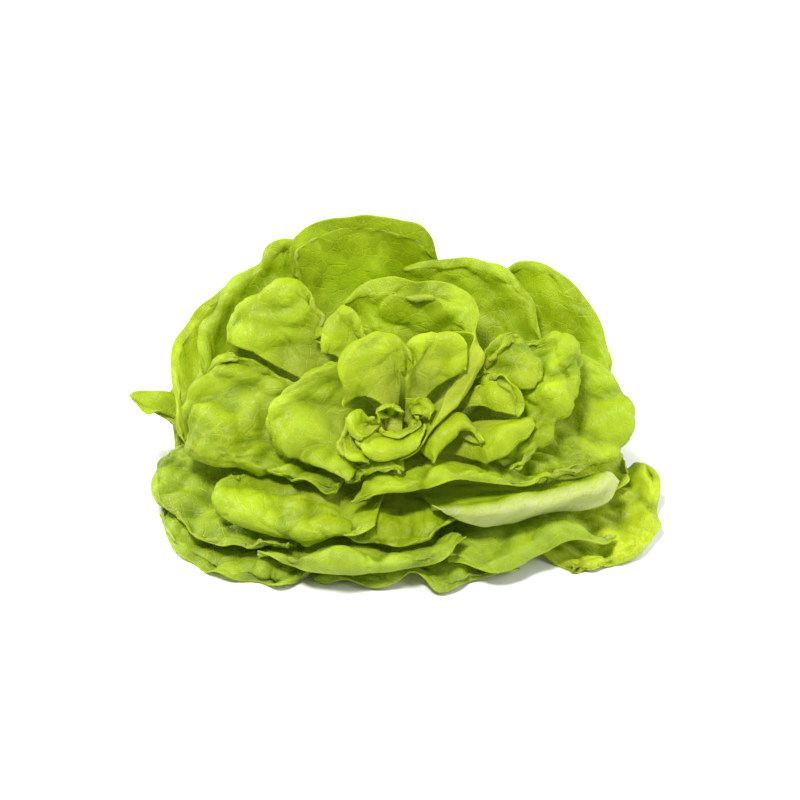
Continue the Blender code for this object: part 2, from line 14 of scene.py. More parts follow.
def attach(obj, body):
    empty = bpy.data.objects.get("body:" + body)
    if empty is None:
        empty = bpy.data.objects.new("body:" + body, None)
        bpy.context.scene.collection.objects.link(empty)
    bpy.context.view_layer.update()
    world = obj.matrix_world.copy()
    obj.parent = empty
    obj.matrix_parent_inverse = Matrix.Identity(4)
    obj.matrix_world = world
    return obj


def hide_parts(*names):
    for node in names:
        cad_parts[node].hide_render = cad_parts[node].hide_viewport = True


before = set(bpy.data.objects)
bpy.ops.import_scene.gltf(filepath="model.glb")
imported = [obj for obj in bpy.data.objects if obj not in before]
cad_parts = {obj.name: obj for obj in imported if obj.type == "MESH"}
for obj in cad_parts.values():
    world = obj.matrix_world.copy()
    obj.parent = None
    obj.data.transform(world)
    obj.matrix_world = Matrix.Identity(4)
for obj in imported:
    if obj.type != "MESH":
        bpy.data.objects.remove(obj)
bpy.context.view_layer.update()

MM = 0.001

# Stem: a leaning cone with a flat cut face at the bottom.
LEAN = 0.45
STEM_FOOT_RADIUS = 0.0135
STEM_TOP_RADIUS = 0.0065
STEM_HEIGHT = 0.040
STEM_TAPER = 1.3
STEM_CLEAR = 0.0025

# Core of the heart, just above the stem.
CORE_BOTTOM = 0.0405
CORE_TOP = 0.062
CORE_RADIUS = 0.0085
CORE_SHARE = 0.9
HEART_ROOT_DEPTH = 0.003
HEART_ROOTS = (0.058, 0.048)

# Leaf blades.
BASE_WIDTH_DEG = 52.0
BASE_GAP = 0.0009
BASE_STEP = 0.0031
BASE_CLEAR_DEG = 62.0
BASE_LOW = 0.0035
FACING_HEIGHT_MM = 20.0
ROOT_THICKNESS = 0.0017
BODY_RINGS = 6
FLAP_RINGS = 3
RIBS_PER_METRE = 95.0
FEWEST_RIBS = 9
MOST_RIBS = 17
BEND_SHARE = 0.45
FLAP_STEPS = 4
FLAP_HELD_DEG = 120.0
FLAP_MOST_SHARE = 0.35
BELLY_TILT = 0.6
RING_EASE = 0.85
CURVE_STEPS = 12
RUFFLE_SEED = 100
OUTER_NUMBER = 20
RUFFLE_COUNT = 4
FLOOR = 0.0

# Sorting leaves by their distance from a point above the heart, inner ones nearest.
EYE = (0.0, -0.035, 0.165)
CELL = math.radians(1.6)
CELLS = 150
SORT_STEPS = 90
SORT_GAP = 0.0026
HEART_GAP = 0.0014
SORT_SHARE = 0.45
SORT_MOST = 0.008
SORT_FINE = 6
STEEPEST = 0.4
SORT_SOFTEN = 0.3
SORT_SOFTEN_FADE = 1.3
SORT_ROOT = 0.05
NEAR_END = -1.0
FAR_END = 9.0

# Gentle waves shared by all leaves: count, length, height.
SHARED_WAVES = ((6, 0.062, 0.0011), (8, 0.030, 0.0005))
WAVE_SEED = 11

# Each leaf: name, how far out its belly sits, height of the belly, bulge of its middle towards the eye,
# ruffle, width of the rim that turns, then rim stations as x, y, z and the turn of the rim in degrees,
# + is away from the eye. All in mm.
HEART_LEAVES = (
    ("cup", 0.42, 98, 8, 1.2, 5,
     ((6, -26, 90, 0), (4, -17, 99, -20), (-5, -12, 104, -20), (-16, -12, 104, -20), (-27, -18, 98, -20),
      (-32, -28, 88, 0), (-32, -37, 78, 0))),
    ("dome", 0.42, 98, 8, 1.2, 5,
     ((40, -26, 86, 0), (41, -17, 96, -10), (33, -10, 102, -20), (20, -9, 103, -20), (9, -14, 99, -10),
      (3, -24, 90, 0))),
    ("bud_a", 0.5, 82, 3, 1.0, 4,
     ((-9, -43, 74, 0), (-9, -38, 79, 20), (-3, -34, 82, 20), (4, -36, 80, 0))),
    ("bud_b", 0.5, 82, 3, 1.0, 4,
     ((16, -46, 74, 0), (18, -38, 81, 30), (12, -32, 85, 40), (4, -32, 84, 20))),
    ("bud_c", 1.0, 66, 2, 0.8, 4,
     ((9, -42, 77, 0), (9, -48, 73, 60), (1, -51, 71, 60), (-8, -48, 73, 0))),
    ("bud_d", 1.0, 66, 3, 1.0, 5,
     ((-10, -36, 80, 0), (-20, -38, 79, 40), (-26, -45, 72, 60), (-20, -52, 66, 20))),
    ("bud_e", 0.6, 74, 6, 0.8, 7,
     ((-24, -48, 64, 20), (-17, -56, 62, 80), (-5, -60, 62, 100), (7, -58, 63, 80), (14, -50, 68, 20))),
    ("bud_f", 1.1, 64, 2, 1.0, 5,
     ((-28, -38, 74, 0), (-31, -46, 66, 40), (-28, -54, 58, 40), (-18, -60, 55, 0))),
    ("blade", 0.9, 84, 0, 0.5, 16,
     ((1, -57, 58, -60), (18, -50, 69, -150), (33, -37, 82, -165), (45, -20, 96, -150), (46, -8, 102, -60),
      (36, -4, 105, -10), (22, -3, 106, 0))),
    ("tuck", 0.5, 84, 4, 1.2, 6,
     ((47, -32, 86, 0), (51, -26, 90, 50), (60, -26, 89, 80), (68, -33, 83, 60), (68, -42, 75, 20))),
    ("pleat", 0.6, 90, 8, 2.2, 7,
     ((48, -20, 92, 0), (52, -8, 98, 30), (62, -2, 100, 40), (73, -4, 98, 50), (79, -16, 91, 50),
      (78, -28, 82, 20))),
    ("ridge", 0.6, 96, 4, 1.4, 6,
     ((-14, -6, 97, 0), (-23, 5, 107, 20), (-32, 11, 115, 0), (-40, 4, 104, 0), (-44, -6, 92, 0))),
    ("cone", 0.5, 72, 6, 1.0, 5,
     ((18, -63, 54, 0), (22, -57, 62, 30), (30, -50, 72, 50), (40, -50, 72, 50), (47, -58, 60, 30))),
    ("roll", 0.8, 62, 5, 0.4, 9,
     ((46, -62, 54, 60), (54, -58, 60, 120), (64, -52, 67, 150), (72, -48, 69, 150), (76, -42, 72, 60))),
    ("knot", 0.5, 80, 5, 1.0, 6,
     ((36, -46, 76, 20), (43, -40, 81, 70), (50, -42, 79, 80), (54, -50, 70, 40))),
)
LEAVES = (
    ("head_leaf_left", 0.5, 68, 7, 1.6, 9,
     ((-32, -8, 92, 0), (-46, -10, 86, 20), (-60, -18, 75, 50), (-69, -28, 63, 80), (-62, -44, 54, 60),
      (-44, -58, 48, 40), (-28, -66, 45, 20), (-23, -56, 52, -50), (-12, -58, 54, 10), (2, -66, 46, 0))),
    ("head_leaf_top", 0.95, 76, 11, 1.6, 8,
     ((46, -8, 95, 0), (45, 8, 106, 10), (36, 22, 113, 0), (21, 30, 117, -20), (0, 33, 118, -20),
      (-18, 31, 113, 0), (-32, 24, 107, 10))),
    ("head_leaf_right", 0.6, 76, 7, 2.3, 9,
     ((62, -60, 52, 20), (74, -50, 62, 60), (86, -34, 78, 80), (93, -16, 91, 70), (96, 0, 98, 40),
      (80, 4, 97, 10), (60, 4, 97, 0))),
    ("head_leaf_front", 0.75, 46, 4, 1.8, 8,
     ((-29, -70, 40, 0), (-13, -70, 45, 20), (3, -68, 52, 40), (22, -69, 56, 50), (43, -69, 56, 40),
      (65, -69, 50, 10), (84, -60, 42, 0))),
    ("head_leaf_upper_left", 0.7, 84, 7, 1.6, 10,
     ((-45, 4, 96, -60), (-42, 14, 104, -90), (-46, 25, 112, -20), (-59, 28, 114, 50), (-77, 24, 106, 80),
      (-91, 18, 102, 60), (-97, 8, 92, 0))),
    ("wrapper_leaf_left_blistered", 0.55, 60, 5, 2.4, 10,
     ((-94, 8, 80, 0), (-108, 4, 76, 20), (-116, -2, 66, 60), (-118, -14, 56, 70), (-113, -28, 48, 60),
      (-98, -39, 44, 40), (-68, -52, 42, 20), (-36, -62, 40, 0))),
    ("wrapper_leaf_right", 0.6, 58, 5, 1.6, 9,
     ((84, -58, 36, 0), (104, -46, 38, 20), (119, -32, 44, 50), (126, -18, 54, 60), (122, -6, 65, 40),
      (111, 4, 73, 20), (98, 12, 78, 0))),
    ("wrapper_leaf_back_right", 0.85, 66, 4, 1.2, 8,
     ((80, 24, 80, 0), (76, 38, 94, 20), (66, 46, 106, 20), (57, 50, 113, 10), (40, 52, 118, 10),
      (18, 54, 118, 0), (4, 54, 112, 0))),
    ("wrapper_leaf_back_top", 0.95, 50, 7, 1.0, 15,
     ((26, 56, 106, 0), (20, 60, 128, -20), (8, 60, 138, -40), (-12, 62, 143, -50), (-32, 63, 142, -50),
      (-50, 62, 136, -40), (-61, 58, 127, -20), (-62, 50, 106, 0))),
    ("wrapper_leaf_right_back", 0.85, 48, 2, 0.8, 8,
     ((114, 6, 64, 0), (118, 18, 70, 20), (110, 33, 86, 20), (99, 44, 98, 20), (88, 54, 109, 10),
      (78, 59, 114, 0), (62, 60, 104, 0))),
    ("wrapper_leaf_back_left", 0.85, 48, 3, 1.2, 8,
     ((-50, 58, 127, 0), (-66, 55, 126, 40), (-77, 48, 115, 60), (-94, 41, 105, 70), (-106, 31, 92, 70),
      (-112, 18, 80, 60), (-113, 4, 68, 0))),
    ("wrapper_leaf_far_left", 0.8, 34, 1, 1.0, 8,
     ((-84, 56, 106, 0), (-105, 48, 96, 20), (-121, 38, 83, 30), (-131, 25, 68, 40), (-131, 4, 50, 40),
      (-124, -14, 36, 20))),
    ("wrapper_leaf_left_roll", 0.7, 36, 0, 0.4, 9,
     ((-110, 9, 58, 60), (-126, 6, 63, 120), (-142, 2, 67, 150), (-144, -2, 64, 150), (-130, -2, 58, 120),
      (-110, 1, 52, 60))),
    ("wrapper_leaf_front_pale", 0.75, 32, 0, 0.5, 30,
     ((18, -74, 32, 0), (28, -78, 38, 90), (44, -80, 44, 140), (65, -76, 47, 155), (84, -68, 45, 155),
      (104, -56, 42, 130), (118, -42, 34, 40))),
    ("wrapper_leaf_front_left", 0.6, 34, 5, 1.8, 9,
     ((-92, -44, 36, 0), (-105, -52, 32, 60), (-90, -68, 26, 50), (-62, -82, 21, 30), (-35, -90, 19, 10),
      (-16, -86, 22, 0))),
    ("wrapper_leaf_front_mid", 0.6, 26, 3, 1.6, 9,
     ((-34, -82, 22, 0), (-12, -88, 22, 20), (6, -88, 22, 40), (22, -80, 26, 40), (36, -70, 30, 0))),
    ("outer_leaf_left", 0.6, 20, 1, 1.8, 10,
     ((-118, 2, 28, 0), (-133, -8, 28, 20), (-140, -24, 21, 40), (-137, -43, 15, 40), (-124, -60, 11, 30),
      (-96, -78, 11, 20), (-62, -84, 14, 0))),
    ("outer_leaf_front", 0.75, 8, 1, 1.4, 9,
     ((-76, -84, 16, 0), (-54, -94, 22, 80), (-27, -99, 23, 110), (0, -100, 22, 110), (22, -94, 24, 80),
      (32, -84, 26, 0))),
    ("outer_leaf_right_low", 0.6, 14, 1, 1.0, 9,
     ((119, -40, 16, 0), (135, -26, 14, 30), (134, -10, 14, 40), (130, 4, 14, 20), (120, 16, 18, 0))),
    ("outer_leaf_front_right", 0.65, 16, 1, 1.2, 10,
     ((26, -90, 14, 0), (48, -95, 16, 60), (70, -88, 22, 70), (91, -76, 24, 50), (109, -76, 18, 30),
      (120, -70, 12, 0))),
    ("floor_leaf_left", 0.6, 8, 1, 2.4, 9,
     ((-135, -26, 6, 0), (-128, -56, 4, 0), (-102, -86, 4, 20), (-76, -97, 5, 30), (-50, -98, 5, 20),
      (-27, -92, 5, 0))),
    ("floor_leaf_front", 0.6, 5, 1, 2.0, 8,
     ((-45, -90, 3, 0), (-17, -100, 6, 20), (0, -94, 8, 60), (12, -95, 7, 0), (26, -101, 7, 60),
      (42, -94, 8, 20), (66, -88, 4, 0))),
    ("floor_leaf_right", 0.6, 5, 1, 2.2, 9,
     ((96, -82, 3, 0), (120, -78, 5, 30), (136, -62, 8, 40), (143, -42, 12, 40), (140, -22, 16, 30),
      (129, -6, 10, 0))),
    ("outer_leaf_back_left", 0.8, 18, 1, 2.4, 10,
     ((-128, 0, 20, 0), (-132, 30, 40, 30), (-110, 58, 56, 40), (-80, 78, 66, 40), (-46, 86, 64, 30),
      (-24, 82, 50, 0))),
    ("outer_leaf_back_right", 0.8, 18, 1, 2.4, 10,
     ((-12, 80, 54, 0), (14, 88, 66, 30), (46, 88, 66, 40), (80, 74, 58, 40), (108, 52, 46, 30),
      (124, 24, 22, 0))),
    ("floor_leaf_back", 0.65, 3, 1, 2.4, 9,
     ((-104, 48, 5, 0), (-84, 78, 8, 20), (-46, 96, 12, 40), (0, 102, 14, 40), (46, 96, 12, 40),
      (86, 76, 8, 20), (106, 44, 5, 0))),
)

# Noise: gains that bring it to full range, and a step from leaf to leaf so that no two are alike.
PERLIN_GAIN = 1.6
CELL_GAIN = 1.4
CRUMPLE_SEED = 7.3
BLISTER_SEED = 3.1
TONE_STEP = 0.37

# Added to a leaf's seed, so that each kind of relief has a noise of its own.
RUFFLE_SHIFT_NOISE = 1.7
RUFFLE_SWELL_NOISE = 4.1
FOLD_NOISE = 9.9
BLISTER_WARP_NOISE = 2.0
PIMPLE_NOISE = 5.5
CREASE_NOISE = 6.6
BLISTER_SWELL_NOISE = 8.8

# Camera: looks along +Y and down, as the photograph does.
CAMERA_LENS = 100.0
CAMERA_SENSOR = 36.0
CAMERA_DISTANCE = 1.25
CAMERA_RAISED = math.radians(35.0)
CAMERA_TARGET = (0.0, 0.0, 0.057)

# Lights: direction to the light as azimuth and height in degrees, distance, size, watts.
LIGHTS = (
    ("key", -118.0, 66.0, 1.5, 0.28, 22.0),
    ("fill", -25.0, 38.0, 1.8, 1.0, 13.0),
    ("back_left", 150.0, 30.0, 1.6, 0.6, 22.0),
    ("back_right", 35.0, 35.0, 1.6, 0.6, 14.0),
)
WORLD_STRENGTH = 0.24
FLOOR_SIZE = 6.0

# From the CAD's coarse grid to a fine blade: steps between points, and the second sort's rounds.
MEDIUM = 3
FINE = 3
HEART_FINE = 2
MEDIUM_SORT_STEPS = 40
MEDIUM_SORT_FINE = 2

# Shape of the leaf surface. Spacing, length, size, height and width are metres, the rest factors.
RIB_SPACING = 0.019
RIB_SLANT = 0.85
RIB_HEIGHT = 0.0022
RIB_END = 1.1
PILLOW_MEAN = 0.6
WARP_LENGTH = 0.045
WARP_MOST = 0.010
RUFFLES = ((0.062, 0.0036), (0.031, 0.0011), (0.015, 0.0003))
RUFFLE_SHIFT_LENGTH = 0.06
RUFFLE_SHIFT = 4.4
RUFFLE_SWELL_LENGTH = 0.08
RUFFLE_SWELL = 0.6
RUFFLE_POWER = 3
FOLD_LENGTH = 0.029
FOLD_HEIGHT = 0.0105
FOLD_MEAN = 0.3
FOLD_POWER = 1.2
FOLD_END = 1.2
# Relief that spans the full range of depth, which the leaf material uses for painted shade.
DEEP_SPAN = 1.1 * FOLD_HEIGHT
BLISTER_SIZE = 0.0160
BLISTER_HEIGHT = 0.0018
BLISTER_STEEP = 2.2
BLISTER_MEAN = 0.6
BLISTER_ROOT_GAIN = 3.0
BLISTER_RIM_GAIN = 6.0
BLISTER_END = 1.02
BLISTER_LEAST = 0.25
BLISTER_WARP = 0.002
BLISTER_WARP_LENGTH = 0.012
BLISTER_SWELL_LENGTH = 0.03
BLISTER_SWELL_MEAN = 0.6
BLISTER_SWELL = 0.5
PIMPLE_SIZE = 0.0064
PIMPLE_HEIGHT = 0.0005
CREASE_LENGTH = 0.026
CREASE_HEIGHT = 0.0013
CREASE_STEEP = 5
RIM_HALF = 0.00035
ROOT_HALF = 0.0009
MIDRIB_HEIGHT = 0.0012
MIDRIB_WIDTH = 0.0045
MIDRIB_FADE = 0.8
RIM_REACH = 0.02
FULL_RUFFLE = 1.9

# Veins drawn on a leaf: how steeply each net fades and the wide net's share, then the midrib's half
# width at the tip, what the root adds to it, and how it fades.
WIDE_VEIN_STEEP = 5.0
SMALL_VEIN_STEEP = 4.0
WIDE_VEIN_SHARE = 0.7
RIB_TIP_WIDTH = 0.0012
RIB_ROOT_WIDTH = 0.004
RIB_FADE = 0.5

# Colours, linear: upper sides and undersides of each group of leaves, then veins and single places. One
# group is made lighter as painted backlight shining through its leaves, a tint for recesses is painted
# shade, and one leaf's turned rim gets a painted sheen.
UPPER = {
    "heart": (0.47, 0.62, 0.002),
    "head": (0.425, 0.58, 0.002),
    "wrapper": (0.39, 0.535, 0.002),
    "outer": (0.36, 0.50, 0.025),
    # Painted backlight: lighter colours for the leaves that light from behind shines through.
    "painted_backlight": (0.58, 0.71, 0.016),
}
LOWER = {
    "heart": (0.50, 0.60, 0.03),
    "head": (0.50, 0.60, 0.06),
    "wrapper": (0.50, 0.60, 0.08),
    "outer": (0.50, 0.60, 0.10),
    # Painted backlight on the undersides too.
    "painted_backlight": (0.54, 0.64, 0.08),
}
VEIN = (0.58, 0.69, 0.015)
# Painted sheen: a paler colour on the turned-over outer part of one front leaf, standing in for a grazing
# sheen.
PAINTED_SHEEN = (0.68, 0.74, 0.30)
PALE_LEAF = "wrapper_leaf_front_pale"
# Leaves that take the painted backlight colours.
PAINTED_BACKLIGHT_LEAVES = ("wrapper_leaf_far_left", "outer_leaf_right_low", "floor_leaf_right")
# Painted shade: factors that darken and green the colour of recessed points.
PAINTED_SHADE_TINT = (0.37, 0.46, 0.30)
ROOT = (0.60, 0.67, 0.08)
GLOW = (0.50, 0.66, 0.0)
STEM_PALE = (0.72, 0.74, 0.50)
STEM_BROWN = (0.42, 0.30, 0.12)
FLOOR_WHITE = (0.9, 0.9, 0.9, 1.0)
FLOOR_ROUGH = 0.9

# Stem material.
STEM_CLOUD_SCALE = 160.0
STEM_CLOUD_DETAIL = 4.0
BROWN_START = 0.45
BROWN_FULL = 0.75
STEM_BUMP = 0.4
STEM_BUMP_DISTANCE = 0.001
STEM_ROUGH = 0.5

# What differs between a leaf's two sides: strength of veins and bump, and least roughness.
UPPER_SIDE = {"vein": 0.42, "bump": 0.45, "rough": 0.36}
LOWER_SIDE = {"vein": 0.6, "bump": 0.35, "rough": 0.5}

# Leaf material: scales per metre, and for each colour its share and the ends of its ramp.
CLOUD_SCALE = 38.0
CLOUD_DETAIL = 3.0
SPECK_SCALE = 700.0
SPECK_DETAIL = 2.0
FINE_NET_SCALE = 330.0
WIDE_NET_SCALE = 120.0
UNEVEN_SCALE = 42.0
UNEVEN_DETAIL = 1.0
LIT_GAIN = 1.22
LIT_LIFT = 0.015
DULL_GAIN = 0.80
DULL_END = 0.35
LIT_START = 0.65
# Painted shade: depths where it starts and where it is full, and its largest share.
PAINTED_SHADE_START = 0.48
PAINTED_SHADE_FULL = 0.74
PAINTED_SHADE_SHARE = 0.7
FINE_NET_WIDTH = 0.10
WIDE_NET_WIDTH = 0.05
FINE_NET_SHARE = 0.16
WIDE_NET_SHARE = 0.48
RIM_START = 0.08
RIM_FULL = 0.02
RIM_SHARE = 0.4
# Painted sheen: where along the blade it starts and where it is full.
SHEEN_START = 0.62
SHEEN_FULL = 0.72
ROOT_REACH = 0.45
FINE_NET_SINK = 0.25
WIDE_NET_SINK = 0.4
SPECK_RISE = 0.10
CLOUD_RISE = 0.6
LEAF_BUMP_DISTANCE = 0.0012
ROUGH_SPREAD = 0.16
LEAF_IOR = 1.42
THROUGH_SHARE = 0.36
GLOW_SHARE = 0.5


def axis_at(height):
    """Middle of the leaning stem at this height."""
    return np.array((0.0, -LEAN * height, height))


def stem_radius(height):
    """Radius of the stem at this height."""
    part = min(max(height / STEM_HEIGHT, 0.0), 1.0)
    return STEM_FOOT_RADIUS + (STEM_TOP_RADIUS - STEM_FOOT_RADIUS) * part ** STEM_TAPER


def unit(vectors):
    """Vectors scaled to length one."""
    length = np.linalg.norm(vectors, axis=-1, keepdims=True)
    return vectors / np.maximum(length, 1e-9)


def smooth_line(stations, count):
    """Evenly spaced points on a smooth line through the stations."""
    pts = np.array(stations, dtype=float)
    ends = np.vstack((2 * pts[0] - pts[1], pts, 2 * pts[-1] - pts[-2]))
    fine = []
    for k in range(len(pts) - 1):
        a, b, c, d = ends[k:k + 4]
        for t in np.linspace(0.0, 1.0, CURVE_STEPS, endpoint=False):
            fine.append(0.5 * (2 * b + (c - a) * t + (2 * a - 5 * b + 4 * c - d) * t ** 2
                               + (3 * b - a - 3 * c + d) * t ** 3))
    fine.append(pts[-1])
    fine = np.array(fine)
    steps = np.linalg.norm(np.diff(fine[:, :3], axis=0), axis=1)
    along = np.concatenate(((0.0,), np.cumsum(steps)))
    wanted = np.linspace(0.0, along[-1], count)
    line = np.stack([np.interp(wanted, along, fine[:, k]) for k in range(fine.shape[1])], axis=1)
    return line, along[-1]


def grid_normals(grid):
    """Unit normals of a grid of points, pointing away from the eye above the heart."""
    across = np.gradient(grid, axis=1)
    up = np.gradient(grid, axis=0)
    normals = unit(np.cross(across, up))
    away = grid - np.array(EYE)
    return normals if (normals * away).sum() > 0 else -normals


def shared_wave(points):
    """Gentle waves in space, alike for neighbouring leaves."""
    rng = np.random.default_rng(WAVE_SEED)
    moved = np.zeros_like(points)
    for count, length, height in SHARED_WAVES:
        for _ in range(count):
            run = unit(rng.normal(size=3)) * 2 * math.pi / length
            push = unit(rng.normal(size=3))
            phase = rng.uniform(0.0, 2 * math.pi)
            moved += height * push * np.sin(points @ run + phase)[..., None]
    return moved


def leaf_grid(leaf, number, base_height, root_radius):
    """Grid of a blade's middle surface: rings from the root to the rim, ribs across."""
    _, belly_out, belly_height, bulge, ruffle, flap_width, stations = leaf
    rim_mm, length = smooth_line(stations, 3)
    ribs = int(min(max(round(length * MM * RIBS_PER_METRE), FEWEST_RIBS), MOST_RIBS))
    rim_mm, length = smooth_line(stations, ribs)
    rim = rim_mm[:, :3] * MM
    turn = np.radians(rim_mm[:, 3])
    root = axis_at(base_height)
    centre = rim.mean(axis=0)
    facing = math.atan2(centre[1] - root[1], centre[0] - root[0])
    first = math.atan2(rim[0, 1] - root[1], rim[0, 0] - root[0])
    swing = (facing - first + math.pi) % (2 * math.pi) - math.pi
    side = 1.0 if swing > 0 else -1.0
    spread = np.linspace(-0.5, 0.5, ribs) * math.radians(BASE_WIDTH_DEG) * side
    base = np.stack((root[0] + root_radius * np.cos(facing + spread),
                     root[1] + root_radius * np.sin(facing + spread),
                     np.full(ribs, root[2])), axis=1)
    reach = rim - base
    belly = base + reach * belly_out
    tilt = (rim[:, 2] - centre[2]) * BELLY_TILT
    belly[:, 2] = belly_height * MM + tilt
    tangent = unit(rim - belly)
    held = np.clip(1.0 - np.abs(turn) / math.radians(FLAP_HELD_DEG), 0.0, 1.0)[:, None]
    fade = np.sin(math.pi * np.linspace(0.04, 0.96, ribs)) ** 0.6
    widest = FLAP_MOST_SHARE * np.linalg.norm(reach, axis=1)
    flap = (fade * np.minimum(flap_width * MM, widest))[:, None]
    end = rim - tangent * flap * held
    rings = []
    for t in np.linspace(0.0, 1.0, BODY_RINGS) ** RING_EASE:
        rings.append(base * (1 - t) ** 2 + belly * 2 * t * (1 - t) + end * t ** 2)
    body = np.array(rings)
    outward = grid_normals(body)[-1]
    outward = unit(outward - tangent * (outward * tangent).sum(axis=1, keepdims=True))
    point = end.copy()
    bend_steps = FLAP_RINGS * FLAP_STEPS * BEND_SHARE
    for k in range(FLAP_RINGS):
        for step in range(FLAP_STEPS):
            angle = turn * min((k * FLAP_STEPS + step + 0.5) / bend_steps, 1.0)
            heading = tangent * np.cos(angle)[:, None] + outward * np.sin(angle)[:, None]
            point = point + heading * flap / (FLAP_RINGS * FLAP_STEPS)
        rings.append(point.copy())
    grid = np.array(rings)
    rng = np.random.default_rng(RUFFLE_SEED + number)
    phase = rng.uniform(0.0, 2 * math.pi, 3)
    u = np.linspace(0.0, 1.0, ribs)[None, :]
    s = np.linspace(0.0, 1.0, len(grid))[:, None]
    turns = 2 * math.pi * RUFFLE_COUNT * u
    wave = np.sin(turns * 0.5 + phase[0]) + 0.5 * np.sin(turns + phase[1])
    pucker = np.sin(2 * math.pi * (1.5 * s + 0.5 * u) + phase[2]) * s * (1 - s) * 2
    puff = np.sin(math.pi * s ** 1.4) * np.sin(math.pi * u) ** 0.7 * bulge
    grid = grid + grid_normals(grid) * (((wave * s ** 2.5 + pucker) * ruffle - puff) * MM)[..., None]
    fixed = np.clip(s * 2.5, 0.0, 1.0)[..., None]
    return grid + shared_wave(grid) * fixed


def finer(grid, times):
    """The grid with this many steps between neighbouring points, on straight lines."""
    for axis in (0, 1):
        count = grid.shape[axis]
        at = np.linspace(0.0, count - 1.0, (count - 1) * times + 1)
        low = np.minimum(at.astype(int), count - 2)
        part = (at - low).reshape((-1, 1, 1) if axis == 0 else (1, -1, 1))
        grid = np.take(grid, low, axis=axis) * (1 - part) + np.take(grid, low + 1, axis=axis) * part
    return grid


def share_out(field, times):
    """Moves of a finer grid gathered at the coarse points, nearer ones counting more."""
    rings, ribs = (field.shape[0] - 1) // times + 1, (field.shape[1] - 1) // times + 1
    padded = np.pad(field, times - 1)
    best = np.zeros((rings, ribs))
    for di in range(2 * times - 1):
        for dj in range(2 * times - 1):
            weight = (1 - abs(di - times + 1) / times) * (1 - abs(dj - times + 1) / times)
            rows = slice(di, di + (rings - 1) * times + 1, times)
            columns = slice(dj, dj + (ribs - 1) * times + 1, times)
            near = padded[rows, columns] * weight
            best = np.where(np.abs(near) > np.abs(best), near, best)
    return best


def seen_from_eye(points):
    """Cell number, distance and direction of each point as seen from above the heart."""
    offset = points - np.array(EYE)
    distance = np.linalg.norm(offset, axis=-1)
    heading = offset / distance[..., None]
    down = np.arccos(np.clip(-heading[..., 2], -1.0, 1.0))
    round_angle = np.arctan2(heading[..., 1], heading[..., 0])
    column = np.clip((down * np.cos(round_angle) / CELL + CELLS / 2).astype(int), 0, CELLS - 1)
    row = np.clip((down * np.sin(round_angle) / CELL + CELLS / 2).astype(int), 0, CELLS - 1)
    return row * CELLS + column, distance, heading


def sort_leaves(grids, levels, body_rings, fine, steps):
    """Slide leaves along the lines of sight from the eye until inner ones lie nearer."""
    starts = [grid.copy() for grid in grids]
    top = max(levels) + 1
    flat = (body_rings - 1) * fine + 1
    for step in range(steps):
        total = np.zeros((top, 2, CELLS * CELLS))
        hits = np.zeros((top, 2, CELLS * CELLS))
        views = []
        for grid, level in zip(grids, levels):
            cell, distance, heading = seen_from_eye(finer(grid, fine))
            facing = np.abs((finer(grid_normals(grid), fine) * heading).sum(axis=-1))
            gap = HEART_GAP if level < len(HEART_LEAVES) else SORT_GAP
            views.append((cell, distance, gap / np.maximum(facing, STEEPEST)))
            for part, rows in enumerate((slice(0, flat), slice(flat, None))):
                seen = cell[rows].ravel()
                total[level, part] += np.bincount(seen, distance[rows].ravel(), CELLS * CELLS)
                hits[level, part] += np.bincount(seen, minlength=CELLS * CELLS)
        mean = total / np.maximum(hits, 1)
        nearest = np.where(hits > 0, mean, NEAR_END).max(axis=1)
        farthest = np.where(hits > 0, mean, FAR_END).min(axis=1)
        inner = np.full_like(nearest, NEAR_END)
        outer = np.full_like(nearest, FAR_END)
        for level in range(1, top):
            inner[level] = np.maximum(inner[level - 1], nearest[level - 1])
        for level in range(top - 2, -1, -1):
            outer[level] = np.minimum(outer[level + 1], farthest[level + 1])
        blend = SORT_SOFTEN * max(1.0 - SORT_SOFTEN_FADE * step / steps, 0.0)
        for k, (grid, level) in enumerate(zip(grids, levels)):
            cell, here, gap = views[k]
            away = np.maximum(inner[level][cell] + gap - here, 0.0)
            back = np.maximum(here + gap - outer[level][cell], 0.0)
            move = np.clip(away - back, -SORT_MOST, SORT_MOST) * SORT_SHARE
            s = np.linspace(0.0, 1.0, len(grid))[:, None]
            slide = share_out(move, fine) * np.clip((s - SORT_ROOT) * 5.0, 0.0, 1.0)
            heading = unit(grid - np.array(EYE))
            moved = grid + heading * slide[..., None]
            grids[k] = settle(starts[k] + soften(moved - starts[k], blend), starts[k])
    return grids


def settle(grid, start):
    """Keep a blade above the floor, clear of the stem and rooted where it starts."""
    grid[..., 2] = np.maximum(grid[..., 2], FLOOR + ROOT_THICKNESS * 0.5)
    grid = clear_of_stem(grid)
    grid[0] = start[0]
    return grid


def soften(field, share):
    """Blend each move with its neighbours' moves."""
    out = field.copy()
    for axis in (0, 1):
        before = np.roll(out, 1, axis=axis)
        after = np.roll(out, -1, axis=axis)
        first = [slice(None)] * 3
        last = [slice(None)] * 3
        first[axis] = slice(0, 1)
        last[axis] = slice(-1, None)
        before[tuple(first)] = out[tuple(first)]
        after[tuple(last)] = out[tuple(last)]
        out = out * (1 - share) + (before + after) * (share / 2)
    return out


